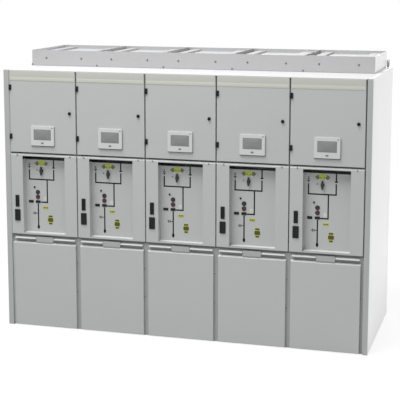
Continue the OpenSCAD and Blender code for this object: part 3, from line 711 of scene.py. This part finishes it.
# %% Left end, recess shade edging and duct gasket
END_STRIP = [(-1, -12), (3.5, -12), (3.5, -2), (2.5, -1), (0, -1), (-1, -2)]
SHADE_EDGING_PROFILE = [(1439.5, -0.1), (1439.5, 1.2), (1440.5, 1.8), (1447, 1.8), (1448, 0.8), (1448, -0.1)]
DUCT_FOOT = [(2200, -0.5), (2200, 1.5), (2202, 2.2), (2205, 1.6), (2206, -0.5)]
RECESS_LEFT = 110       # the recess's left side, along u
trunk_grey = coated("trunk_grey", lit(150, 153, 156), 0.55, peel=0.2, dust_and_top_light_amount=0.2)

filler = [plate(10, 373, 17, 722, 1, -24.5, -9)]
piece("end_filler", at_panel(0, filler), edge_paint)
piece("end_seal", at_panel(0, [raised(END_STRIP, 803, 2187)]), edge_paint)
# Painted shade: black sheets along the top of each recess, on its left wall and at its front edge
# stand for the shadow under the recess's top.
shade_lining = [plate(31.5, 1460, 57, 25, 1, -0.05, 0.5)]
recess_sides = [ROW_LEFT + k * PANEL_WIDTH + RECESS_LEFT for k in PANELS]
shade_edging = row_of([carried(SHADE_EDGING_PROFILE, 111, 489)], PLATE_DEPTH)
shade_edging += sum([placed(shade_lining, (x, DOOR_FACE, 0), "right") for x in recess_sides], [])
shade_edging += row_of([plate(MIDDLE, 1473, 378, 5, 1, -2, 0.4)])
piece("slot_shade_edging", shade_edging, black_plastic)
# Partly painted shade: the grey gasket along the duct's foot also stands for the dark line of shade
# there.
foot_gasket_and_shade = placed([carried(DUCT_FOOT, -1495, 1495)], (0, DOOR_FACE + DUCT_DEPTH, 0))
piece("duct_gasket_and_shade", foot_gasket_and_shade, trunk_grey)

# %% [markdown]
# ## Behind the doors
# With a door open, the mounting plate shows what such a compartment holds: slotted wiring
# trunks, two hat rails with terminals, small breakers and relays, and an earth bar. Each
# could be a detailed model of its own. From a step away only their rhythm counts, so each
# kind is one eased plate, repeated along its rail by an array of positions.

# %% Trunks and rails on the mounting plates
LOW_RAIL, HIGH_RAIL = 1712, 1968  # heights of the hat rails
rail_zinc = zinc_coated("rail_zinc", lit(182, 184, 180), 0.3, 120)


def trunk(u, v, length, upright=False):
    """A slotted trunk centred at (u, v): a narrow body, a row of wider fingers and a cover."""
    steps = np.arange(-length / 2 + 12, length / 2 - 6, 20.0)
    sizes = [(length, 30, 0, 0, 46), (length, 40, 0, 46, 50)]
    sizes += [(12, 40, at, 4, 42) for at in steps]
    if upright:
        return [plate(u, v + at, b, a, 1, low, high, 0.4, 2) for a, b, at, low, high in sizes]
    return [plate(u + at, v, a, b, 1, low, high, 0.4, 2) for a, b, at, low, high in sizes]


def hat_rail(v, start, end):
    """A hat rail: a base strip and two raised flanges, each a strip carried along u."""
    strips = [(-13, 13, 0, 1)]
    for side in (-1, 1):
        strips += [(side * 12, side * 13, 0, 7), (side * 12, side * 17.5, 6, 7)]
    return [carried([(v + a, low), (v + b, low), (v + b, high), (v + a, high)], start, end)
            for a, b, low, high in strips]


trunks = sum([trunk(MIDDLE, v, 470) for v in (1596, 1830, 2112)], [])
trunks += trunk(85, 1713, 190, True) + trunk(85, 1971, 238, True)
rails = hat_rail(LOW_RAIL, 122, 534) + hat_rail(HIGH_RAIL, 122, 534)
piece("wiring_trunks", row_of(trunks, MOUNTING_DEPTH), trunk_grey)
piece("hat_rails", row_of(rails, MOUNTING_DEPTH), rail_zinc)

# %% Devices on the rails
device_pale = coated("device_pale", lit(196, 198, 196), 0.5, peel=0.15, dust_and_top_light_amount=0.15)
device_dark = coated("device_dark", lit(52, 54, 57), 0.5, peel=0.15, drifting=0.2, dust_and_top_light_amount=0.1)
terminal_buff = coated("terminal_buff", lit(176, 172, 158), 0.55, peel=0.1, dust_and_top_light_amount=0.15)
bar_copper = zinc_coated("bar_copper", lit(176, 112, 74), 0.35, 80)
wire_black = coated("wire_black", lit(34, 35, 38), 0.45, peel=0.1, drifting=0.2, dust_and_top_light_amount=0.05)
POSTS = np.arange(132, 524, 8.0)            # terminals, along u
BREAKERS = 134 + 18.0 * np.arange(8)        # small breakers, along u
RELAYS = (302, 330, 358, 386)               # relays, along u
METER = 478                                 # the large device, along u

terminals = [plate(u, LOW_RAIL, 7.4, 52, 0.8, 6.5, 44, 0.4, 2) for u in POSTS]
heads = [turned(u, LOW_RAIL + v, [2.3, 2.3, 1.7], [43.5, 44.8, 44.8], 8)
         for u in POSTS for v in (-16, 16)]
bodies = [plate(u, HIGH_RAIL, 17.4, 84, 1, 6.5, 50, 0.5, 2) for u in BREAKERS]
bodies += [plate(u, HIGH_RAIL, 17.4, 46, 1, 49, 66, 0.5, 2) for u in BREAKERS]
bodies += [plate(METER, HIGH_RAIL, 96, 124, 3, 6.5, 92, 1.0, 3)]
toggles = [plate(u, HIGH_RAIL + 6, 9, 11, 1.5, 65, 74, 0.6, 2) for u in BREAKERS]
toggles += [plate(u, HIGH_RAIL, 25, 78, 2, 6.5, 58, 0.8, 2) for u in RELAYS]
toggles += [plate(METER, v, 70, 4, 1, 91, 92.6, 0.3, 2) for v in (1940, 1950, 1960, 1970)]
piece("rail_devices", row_of(bodies, MOUNTING_DEPTH), device_pale)
piece("rail_toggles", row_of(toggles, MOUNTING_DEPTH), device_dark)
piece("terminal_rows", row_of(terminals, MOUNTING_DEPTH), terminal_buff)
piece("terminal_heads", row_of(heads, MOUNTING_DEPTH), screw_zinc)

# %% Wires and earth bars
relay_wires = [u + side for u in RELAYS for side in (-6, 6)]
wires = [ribbon([(u, 1688), (u, 1614)], 2.6, 12, 14.6) for u in POSTS]
wires += [ribbon([(u, 1736), (u, 1814)], 2.6, 12, 14.6) for u in POSTS]
wires += [ribbon([(u, 1928), (u, 1848)], 3.2, 14, 17.2) for u in [*BREAKERS, *relay_wires]]
earth = [plate(MIDDLE, 1560, 440, 20, 1, 6, 12, 0.4, 3)]
earth += [plate(u, 1560, 16, 20, 1, -0.5, 7) for u in (110, 490)]
piece("control_wires", row_of(wires, MOUNTING_DEPTH), wire_black)
piece("earth_bars", row_of(earth, MOUNTING_DEPTH), bar_copper)

# %% Insides of the doors
DOOR_SKIN, DISPLAY_BACK = 2, 60  # depths of the door sheet's and the display's inner faces


def inside(k, forms, depth):
    """Forms on the inner side of panel k's door, with u counted from its left joint."""
    mirrored = [(points * [-1, 1, 1], faces) for points, faces in forms]
    return placed(mirrored, (ROW_LEFT + k * PANEL_WIDTH, DOOR_FACE + depth, 0), "rear")


ribs = [plate(u, 1847, 34, 600, 6, -0.5, 11, 3.0) for u in (120, 480)]
ribs += [plate(MIDDLE, 1960, 320, 30, 6, -0.5, 11, 3.0)]
plugs = [plate(u, 1690, 44, 14, 2, -0.5, 9, 0.8) for u in (240, 300, 360)]
plugs += [plate(270, 1600, 60, 14, 2, -0.5, 9, 0.8)]
for k in PANELS:
    door = f"door_{k + 1}"
    piece(f"door_ribs_{k + 1}", inside(k, ribs, DOOR_SKIN), front_paint, door)
    piece(f"display_plugs_{k + 1}", inside(k, plugs, DISPLAY_BACK), device_dark,
          door)

# %% [markdown]
# ## Light and ground
# The picture was made in plain soft light on white. The world gives an even light from all
# around. A wide softbox hangs high in front, a little to the left, so that roofs, folds and
# ledges are brighter than fronts. A low one lights the right-hand wall, a small one the right
# part of the roof, and one behind the row its rear. The camera and glossy surfaces see plain
# white. The floor is a pale disc that shows the row's shadow faintly and fades into the white
# world at its rim.

# %% World
AMBIENT = 0.44
world = bpy.data.worlds.new("studio")
bpy.context.scene.world = world
world.use_nodes = True
sky = world.node_tree
ray = add(sky, "ShaderNodeLightPath").outputs
mirrored_ray = math(sky, "MAXIMUM", ray["Is Glossy Ray"], ray["Is Transmission Ray"])
direct = math(sky, "MAXIMUM", ray["Is Camera Ray"], mirrored_ray)
even = sky.nodes["Background"]
constants(even, Color=WHITE, Strength=AMBIENT)
plain = add(sky, "ShaderNodeBackground", Color=WHITE, Strength=1.0)
both = add(sky, "ShaderNodeMixShader", i0=direct, i1=even.outputs[0], i2=plain.outputs[0])
sky.links.new(both.outputs[0], sky.nodes["World Output"].inputs["Surface"])
print("world:", world.name, "at strength", AMBIENT)

# %% Softboxes
def softbox(name, place, target, size, power):
    """A square area light at a place, turned to a target."""
    data = bpy.data.lights.new(name, "AREA")
    data.shape, data.size, data.energy = "SQUARE", size, power
    made = bpy.data.objects.new(name, data)
    away = np.array(place, float) - np.array(target, float)
    away /= np.linalg.norm(away)
    side = np.cross([0, 0, 1], away)
    side /= np.linalg.norm(side)
    stand = np.eye(4)
    stand[:3, :3] = np.stack([side, np.cross(away, side), away], 1)
    stand[:3, 3] = place
    made.matrix_world = Matrix(stand.tolist())
    bpy.context.scene.collection.objects.link(made)


softbox("high_softbox", (-1.6, -3.4, 9.0), (0, 0, 1.2), 5.0, 760)
softbox("right_softbox", (7.5, 0.9, 1.1), (1.5, 0.3, 1.1), 1.8, 214)
softbox("roof_softbox", (5.0, 1.8, 6.0), (1.0, 0.3, 2.2), 2.0, 62)
softbox("rear_softbox", (0, 8.0, 3.2), (0, 0.5, 1.2), 3.0, 330)
print("lights:", [light.name for light in bpy.data.lights])

# %% Floor
DISC, FADE = 6.0, 2.5   # metres
RIM_STEPS = 96
SEEN_LESS = 0.8         # share of the floor that the camera looks through
SEEN_TONE, BOUNCE_TONE = (0.9, 0.9, 0.9, 1), (0.5, 0.5, 0.5, 1)
rim = DISC * circle(np.linspace(0, 2 * np.pi, RIM_STEPS, endpoint=False))
floor_mesh = bpy.data.meshes.new("ground")
floor_mesh.from_pydata([(x, y, 0) for x, y in rim.tolist()], [], [list(range(RIM_STEPS))])
ground, tree, shader = shader_of("ground_white")
ray = add(tree, "ShaderNodeLightPath").outputs
looked_at = math(tree, "MAXIMUM", ray["Is Camera Ray"], ray["Is Glossy Ray"])
tone = blend_colour(tree, looked_at, BOUNCE_TONE, SEEN_TONE)
drifted = use(tree, drift, Colour=tone, Amount=0.01).outputs["Colour"]
tree.links.new(drifted, shader.inputs["Base Color"])
constants(shader, Roughness=0.9, Specular_IOR_Level=0.0)
distance = add(tree, "ShaderNodeVectorMath", props={"operation": "LENGTH"},
               i0=object_coords(tree)).outputs["Value"]
shown = add(tree, "ShaderNodeMapRange", props={"interpolation_type": "SMOOTHSTEP"}, Value=distance,
            From_Min=DISC - FADE, From_Max=DISC, To_Min=1.0, To_Max=0.0).outputs["Result"]
left_over = math(tree, "SUBTRACT", 1.0, math(tree, "MULTIPLY", ray["Is Camera Ray"], SEEN_LESS))
tree.links.new(math(tree, "MULTIPLY", shown, left_over), shader.inputs["Alpha"])
floor_mesh.materials.append(ground)
floor = bpy.data.objects.new("ground", floor_mesh)
bpy.context.scene.collection.objects.link(floor)
bpy.context.scene.view_settings.view_transform = "Standard"
print("floor: a disc of", DISC, "m, fading over", FADE, "m")

# %% [markdown]
# The last line hands the scene over.

# %% Finish
bpy.context.view_layer.update()
